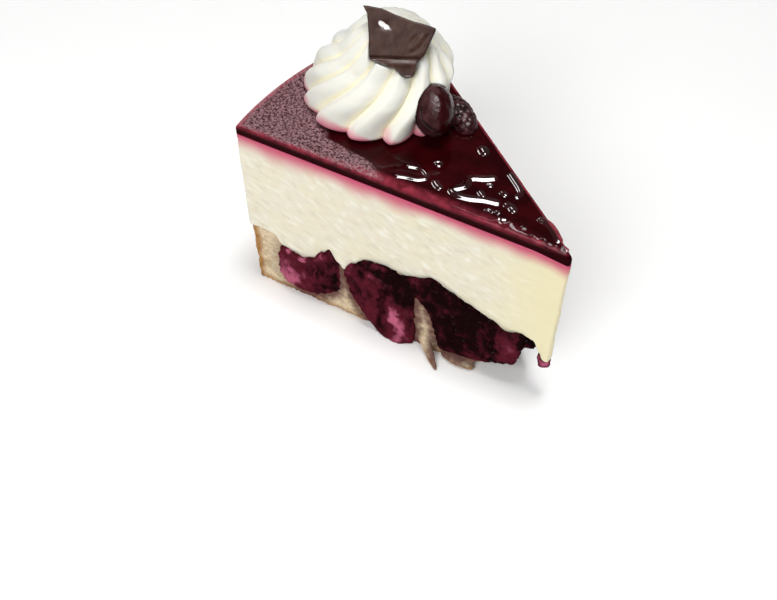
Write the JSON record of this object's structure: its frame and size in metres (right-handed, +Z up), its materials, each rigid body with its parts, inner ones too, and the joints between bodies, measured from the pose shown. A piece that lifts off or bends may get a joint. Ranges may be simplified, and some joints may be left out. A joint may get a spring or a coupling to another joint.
{
  "type": "cream cake slice",
  "caption": "Wedge of tall cream cake: cherries in a sponge base, thick cream, red jelly glaze, piped cream rosette with a chocolate shard, and dark berries.",
  "frame": {"origin": "centre of the slice's footprint, on the plane it stands on", "axes": "+Z up, +X from the rim towards the tip, -Y towards the cut face that the picture shows"},
  "size_m": [0.1082, 0.0716, 0.1034],
  "materials": {
    "sponge": "open crumb, browned at rim and foot",
    "cherry": "wet cut cherry flesh",
    "cream": "cut set cream, soft sheen, stained pink under the glaze",
    "glaze": "clear dark red jelly, mirror gloss",
    "piped_cream": "piped whipped cream, soft sheen",
    "chocolate": "dark chocolate, satin",
    "berry": "soft dark berry, wet skin",
    "bramble": "dark red-black drupelets, wet"
  },
  "bodies": {
    "root": {"sponge_base": "sponge", "fruit_outer": "cherry", "fruit_middle": "cherry", "fruit_inner": "cherry", "fruit_tip": "cherry", "cream_layer": "cream", "glaze_layer": "glaze", "rosette": "piped_cream", "chocolate_shard": "chocolate", "round_berry": "berry", "bramble_berry": "bramble"}
  },
  "joints": []
}
